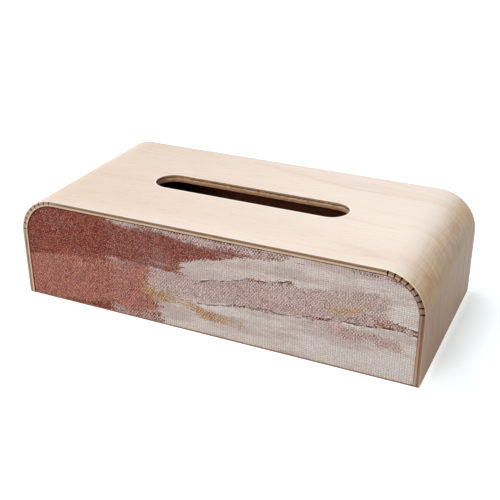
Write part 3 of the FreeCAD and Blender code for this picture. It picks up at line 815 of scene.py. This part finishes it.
def canvas_finish():
    """Painted canvas: each stroke takes on the threads first and misses the pits where it is dry."""
    material, tree = new_finish("painted_canvas")
    u, y, v = place_in(tree).split()
    thread, rib, check, knot = weave(u, v)
    grain = noise(vector(u * 1850.0, v * 1850.0, 3.3), detail=1.0, roughness=0.6).step(0.32, 0.68)
    blot = noise(vector(u * 1150.0, v * 1150.0))
    take = (thread - 0.4) * 0.16 + check * 0.1 + (knot - 0.5) * 0.16 + (blot - 0.5) * 0.38
    tone = noise(vector(u * 40.0, v * 70.0), detail=4.0)
    colour = tone.step(0.35, 0.65).mix(paint(110, 34, 22), paint(152, 68, 50))
    body = take * 0.0
    ridge = take * 0.0
    for (cover, lip), shade in strokes(u, v, crumble_at(u, v)):
        mask = (cover + take).step(0.3, 0.64)
        colour = (mask * 0.94).mix(colour, shade)
        body = body * (1.0 - mask * 0.4) + mask * 0.4
        ridge = ridge * (1.0 - mask * 0.8) + lip
    ridge = ridge * noise(vector(u * 190.0, v * 90.0, 6.2), detail=3.0).step(0.42, 0.54)
    crest = ridge.math("MAXIMUM", 0.0).math("MINIMUM", 1.0)
    groove = (ridge * -1.0).math("MAXIMUM", 0.0).math("MINIMUM", 1.0)
    streak = noise(vector(u * 22.0, v * 260.0, 6.0), detail=3.0)
    streaked = (streak.step(0.48, 0.8) * 0.14).mix(colour, paint(218, 176, 162))
    light = streaked.then("ShaderNodeRGBToBW", None, {0: streaked}).step(0.16, 0.66)
    dark = 1.0 - light
    middle = light * dark
    stain = noise(vector(u * 22.0, v * 110.0, 4.4), detail=4.0, roughness=0.6)
    rubbed = (stain + take * 0.35).step(0.46, 0.6) * light * 0.6
    tinted = rubbed.mix(streaked, paint(190, 164, 157))
    bare = (grain - 0.5).math("MAXIMUM", 0.0) * dark * 1.1
    flecked = bare.mix(tinted, paint(206, 148, 126))
    woven = check * (dark * 0.2 + middle * 0.8 + 0.06) + (knot - 0.5) * (dark * 0.2 + middle * 0.6 + 0.1)
    bright = woven + (grain - 0.5) * (dark * 0.5 + middle * 1.9 + 0.4) - middle * 0.15
    # Painted shade of the weave: the paint is scaled lighter on the threads and the comb's ribs, and is
    # darker in the pits, towards deep maroon on dark paint and grey on light.
    speckled = flecked.then("ShaderNodeVectorMath", {"operation": "SCALE"}, {
        0: flecked, "Scale": bright + rib * 0.2 + (thread * 0.3 + 0.8)})
    pit = thread.step(0.5, 0.1) * (knot.step(0.6, 0.2) * dark * 0.6 + 0.22)
    pitted = (pit * (1.0 - crest * 0.6)).mix(speckled, light.mix(paint(76, 25, 17), paint(146, 118, 107)))
    # Painted shadow in the groove under each paint lip, and a painted highlight on its crest, stronger on
    # light paint.
    painted_groove_shadow = (groove * 0.95).mix(pitted, paint(88, 54, 36))
    lit = (crest * (light * 0.6 + 0.05)).mix(painted_groove_shadow, paint(244, 232, 220))
    # Painted shade: where the canvas turns back at its top and sides it is darker, for the shade in its
    # gap to the rim.
    folded = (y - canvas_low.y).step(0.1 * mm, 0.45 * mm)
    painted_fold_shade = (folded * v.step(1.2 * mm, 3.0 * mm) * 0.55).mix(lit, paint(140, 112, 100))
    height = thread * (0.8 - crest * 0.5) + body * 0.6 + grain * 0.4 + ridge * 1.2
    return finished(material, painted_fold_shade, 0.62 + thread * 0.2, height, 0.17 * mm, {"Specular IOR Level": 0.15})


def rim_height(x):
    """Top of the canvas at a place along X, where its corners are round."""
    beside = max(abs(x) - (canvas_high.x - canvas_corner), 0.0)
    return canvas_high.z - canvas_corner + math.sqrt(max(canvas_corner ** 2 - beside ** 2, 0.0))


def fold_depth(x, z):
    """How far the canvas has turned back from its flat face, near its outline."""
    corner_x, corner_z = canvas_high.x - canvas_corner, canvas_high.z - canvas_corner
    if abs(x) > corner_x and z > corner_z:
        inset = canvas_corner - math.hypot(abs(x) - corner_x, z - corner_z)
    else:
        inset = min(canvas_high.x - abs(x), canvas_high.z - z)
    inset = max(min(inset, z - canvas_low.z), 0.0)
    if inset >= canvas_fold:
        return 0.0
    return canvas_fold - math.sqrt(canvas_fold ** 2 - (canvas_fold - inset) ** 2)


def spread(count, length):
    """Places from 0 to length, close together near both ends for the fold."""
    near = [0.0, 0.05 * mm, 0.15 * mm, 0.3 * mm, canvas_fold]
    inner = [canvas_fold + (length - 2 * canvas_fold) * i / count for i in range(1, count)]
    return near + inner + [length - place for place in reversed(near)]


def columns_along_x():
    """Places along X of the canvas's columns of points, even round its two corners."""
    reach = canvas_high.x - canvas_corner
    turns = [math.pi / 2 * i / corner_columns for i in range(corner_columns + 1)]
    right = [reach + canvas_corner * math.sin(turn) for turn in turns]
    middle = [-reach + 2 * reach * i / canvas_columns for i in range(1, canvas_columns)]
    return [-x for x in reversed(right)] + middle + right


def canvas_sheet():
    """Front of the canvas with its edges folded back along the board's."""
    shape = bmesh.new()
    columns = []
    for x in columns_along_x():
        height = rim_height(x) - canvas_low.z
        column = []
        for place in spread(canvas_rows, height):
            z = canvas_low.z + place
            column.append(shape.verts.new((x, canvas_low.y + fold_depth(x, z), z)))
        columns.append(column)
    for column, following in zip(columns, columns[1:]):
        for index in range(len(column) - 1):
            shape.faces.new((column[index], following[index], following[index + 1], column[index + 1]))
    low_edge = [column[0] for column in columns]
    top_edge = [column[-1] for column in reversed(columns[:-1])]
    rim = low_edge + columns[-1][1:] + top_edge + columns[0][-2:0:-1]
    wrapped = [shape.verts.new((vert.co.x, canvas_high.y - 0.2 * mm, vert.co.z)) for vert in rim]
    for index in range(len(rim)):
        shape.faces.new((rim[index - 1], rim[index], wrapped[index], wrapped[index - 1]))
    return piece_from("painted_canvas", shape)


def relief_tree():
    """Geometry Nodes that raise the painted strokes from the canvas."""
    tree, given = open_tree(
        "raise_paint", Geometry=["Canvas"], Float=["Thickness", "Face"], Material=["Finish"])
    x, y, z = Wire.node(tree, "GeometryNodeInputPosition").split()
    lift = x * 0.0
    for (cover, lip), _ in strokes(x, z, crumble_at(x, z)):
        lift = lift * 0.6 + cover.step(0.3, 0.8) * 0.35 + lip * 0.35
    lift = lift.math("MINIMUM", 1.0).math("MAXIMUM", 0.0)
    on_face = (y - given["Face"]).step(0.5 * mm, 0.1 * mm)
    rise = lift * on_face * given["Thickness"] * -1.0
    raised = given["Canvas"].through("SetPosition", Offset=vector(0.0, rise))
    return close_tree(tree, raised.through("SetMaterial", Material=given["Finish"]))


canvas = canvas_sheet()
run_nodes(canvas, relief_tree(), {
    "Thickness": paint_thickness, "Face": canvas_low.y, "Finish": canvas_finish()})
cloth = canvas.modifiers.new("cloth", "SOLIDIFY")
cloth.thickness = 0.35 * mm
cloth.offset = -1.0
settle(canvas, 60.0)
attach(canvas, "drawer")
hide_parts("front_canvas")


# ---- Felt feet --------------------------------------------------------------------------------
# Four round pads of pressed grey felt, stuck under the floor of the case. Their cut rims are hairy.

foot_low, foot_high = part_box("foot_pads")
foot_radius = 6 * mm
foot_thickness = foot_high.z - foot_low.z


def felt_finish():
    """Grey wool felt, darker between its clumps of fibre."""
    material, tree = new_finish("grey_felt")
    x, y, z = place_in(tree).split()
    clump = noise(vector(x * 700.0, y * 700.0, z * 700.0), detail=4.0, roughness=0.7)
    colour = clump.step(0.3, 0.7).mix(paint(104, 100, 96), paint(168, 163, 156))
    return finished(material, colour, 0.95, clump, 0.2 * mm)


def foot_disc():
    """One pad, with enough points on its faces to press the felt's clumps into them."""
    half = foot_thickness / 2
    levels = [(-half, 0.92), (-half * 0.7, 0.99), (0.0, 1.0), (half * 0.7, 0.99), (half, 0.92)]
    profile = [(foot_radius * 0.92 * step / 12, -half) for step in range(12)]
    profile += [(foot_radius * share, height) for height, share in levels]
    profile += [(foot_radius * 0.92 * step / 12, half) for step in reversed(range(12))]
    return turned("foot_model", profile, 48)


def felt_tree():
    """Geometry Nodes that roughen the pad, raise loose fibres on it and lay it at every point."""
    tree, given = open_tree(
        "lay_felt", Geometry=["Places"], Object=["Pad"], Int=["Seed"], Material=["Felt"],
        Float=["Clump", "Fibre Length", "Fibre Radius", "Fibres per Area", "Low", "High"])
    pad =Wire.node(tree, "GeometryNodeObjectInfo", None, {"Object": given["Pad"]}, "Geometry")
    x, y, z = Wire.node(tree, "GeometryNodeInputPosition").split()
    clump = noise(vector(x * 1100.0, y * 1100.0, z * 1100.0)) - 0.65
    normal = Wire.node(tree, "GeometryNodeInputNormal")
    press = normal.then("ShaderNodeVectorMath", {"operation": "SCALE"}, {
        0: normal, "Scale": clump * given["Clump"]})
    rough = pad.through("SetPosition", Offset=press)
    spots = rough.then("GeometryNodeDistributePointsOnFaces", None, {
        "Mesh": rough, "Density": given["Fibres per Area"], "Seed": given["Seed"]})
    reach = given["Fibre Length"]
    line = reach.then("GeometryNodeCurveQuadraticBezier", None, {
        "Resolution": 4, "Start": (0, 0, 0), "Middle": vector(reach * 0.6, reach * 0.1, reach * 0.3),
        "End": vector(reach, reach * 0.5, reach * 0.1)})
    ring =Wire.node(tree, "GeometryNodeCurvePrimitiveCircle", None, {
        "Resolution": 3, "Radius": given["Fibre Radius"]})
    fibre = line.then("GeometryNodeCurveToMesh", None, {
        "Curve": line, "Profile Curve": ring, "Fill Caps": True})
    lean = Wire.node(tree, "FunctionNodeRandomValue", {"data_type": "FLOAT_VECTOR"}, {
        0: (-0.5, -0.5, 0.0), 1: (0.5, 0.5, math.tau), "Seed": 4}, 0)
    whole = rough.through("JoinGeometry")
    Wire.feed(whole.output.node, {"Geometry": fibre.laid_on(spots, lean)})
    flat = Wire.node(tree, "ShaderNodeCombineXYZ", None, {0: math.pi / 2})
    laid = whole.laid_on(given["Places"], flat).through("RealizeInstances")
    height = z.math("MAXIMUM", given["Low"]).math("MINIMUM", given["High"])
    pressed = laid.through("SetPosition", Position=vector(x, y, height))
    return close_tree(tree, pressed.through("SetMaterial", Material=given["Felt"]))


foot_model = foot_disc()
feet = plain_piece("felt_feet", [
    (side * (foot_high.x - foot_radius), end * (foot_high.y - foot_radius),
     (foot_low.z + foot_high.z) / 2) for side in (-1, 1) for end in (-1, 1)])
run_nodes(feet, felt_tree(), {
    "Pad": foot_model, "Clump": 0.14 * mm, "Fibre Length": 0.9 * mm, "Fibre Radius": 0.02 * mm,
    "Fibres per Area": 1.6e6, "Seed": 2, "Low": foot_low.z, "High": foot_high.z,
    "Felt": felt_finish()})
settle(feet, 50.0)
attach(feet, "case")
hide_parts("foot_pads")
bpy.data.objects.remove(foot_model)


# ---- Floor, lamps and camera ------------------------------------------------------------------
# A plain pale floor that glows white where it is seen, with the soft shadow of the box on it. Close to the
# box the glow and the floor's colour are painted, to lighten that shadow and tint the shade under the box.

def seen(tree):
    """1 for what the camera sees, straight or through gloss and glass, and 0 for the light itself."""
    path = tree.nodes.new("ShaderNodeLightPath")
    rays = [Wire(tree, path.outputs[f"Is {kind} Ray"]) for kind in ("Camera", "Glossy", "Transmission")]
    return rays[0].math("MAXIMUM", rays[1].math("MAXIMUM", rays[2]))


def floor_finish():
    """Pale paper. It glows where it is seen, but not under the box, and so looks white."""
    material, tree = new_finish("floor_paper")
    x, y, _ = place_in(tree).split()
    far = (x * x + y * y).math("SQRT").step(0.25, 1.1)
    clear = (abs(x) - shell_high.x).math("MAXIMUM", abs(y) - shell_high.y)
    outside = clear.step(-0.8 * mm, 0.2 * mm)
    # Painted light: the glow is stronger in front of the box, in a thin halo and a wider band beside it,
    # and towards its rear, which lightens its shadow there.
    left_of_end = x.step(shell_high.x + 30 * mm, shell_high.x - 10 * mm)
    before = (y + shell_high.y).step(45 * mm, -4 * mm) * left_of_end
    beside = clear.step(5 * mm, 0.5 * mm) * 0.15 + clear.step(4 * mm, 60 * mm) * 0.06
    behind = y.step(30 * mm, 70 * mm) * 0.08
    glow = (0.5 + far * 0.6 + before * 0.35 + beside + behind) * outside * seen(tree)
    # Painted light: under the front edge, between the walls, the floor glows a dull brown where it shows
    # below the canvas.
    between_walls = abs(x).step(shell_high.x - 4 * mm, shell_high.x - 5 * mm)
    front_gap = (y + shell_high.y).step(3.2 * mm, 2.4 * mm) * between_walls
    painted_gap_glow = (front_gap * (1.0 - outside) * seen(tree)).mix(paint(0, 0, 0), paint(122, 94, 82))
    # Painted shade: under the box the floor's own colour is a dark brown, for the warm shade there.
    Wire.feed(tree.nodes["Principled BSDF"], {
        "Base Color": outside.mix(paint(120, 76, 60), paint(193, 204, 207)), "Roughness": 0.9,
        "Specular IOR Level": 0.1, "Emission Color": glow.mix(painted_gap_glow, paint(255, 255, 255)),
        "Emission Strength": 1.0})
    return material


floor_reach = 6.0
corners = [(x * floor_reach, y * floor_reach, 0.0) for x, y in ((-1, -1), (1, -1), (1, 1), (-1, 1))]
floor = plain_piece("floor", corners, [(0, 1, 2, 3)])
floor.data.materials.append(floor_finish())


def lamp(name, place, size, power):
    """Square soft lamp that faces the box."""
    light = bpy.data.lights.new(name, "AREA")
    light.size = size
    light.energy = power
    holder = put_in_scene(name, light)
    holder.location = place
    holder.rotation_euler = (-Vector(place)).to_track_quat("-Z", "Y").to_euler()


lamp("key", place=(-0.95, 0.1, 3.2), size=1.9, power=68.0)
lamp("front", place=(-0.4, -2.6, 1.5), size=1.5, power=40.0)

world = bpy.data.worlds.new("studio")
bpy.context.scene.world = world
world.use_nodes = True
Wire.feed(world.node_tree.nodes["Background"], {
    "Strength": 0.26 + seen(world.node_tree) * 0.74,
    "Color": seen(world.node_tree).mix((1.0, 0.97, 0.94, 1.0), (1.0, 1.0, 1.0, 1.0))})

camera_pitch = 26.355
camera_yaw = 24.853
camera = bpy.data.cameras.new("camera")
camera.sensor_width = 36.0
camera.lens = 62.767
camera.clip_start = 0.01
eye = put_in_scene("camera", camera)
eye.location = (0.23142, -0.49844, 0.30497)
eye.rotation_euler = (math.radians(90 - camera_pitch), 0.0, math.radians(camera_yaw))
bpy.context.scene.camera = eye
bpy.context.scene.view_settings.view_transform = "Standard"
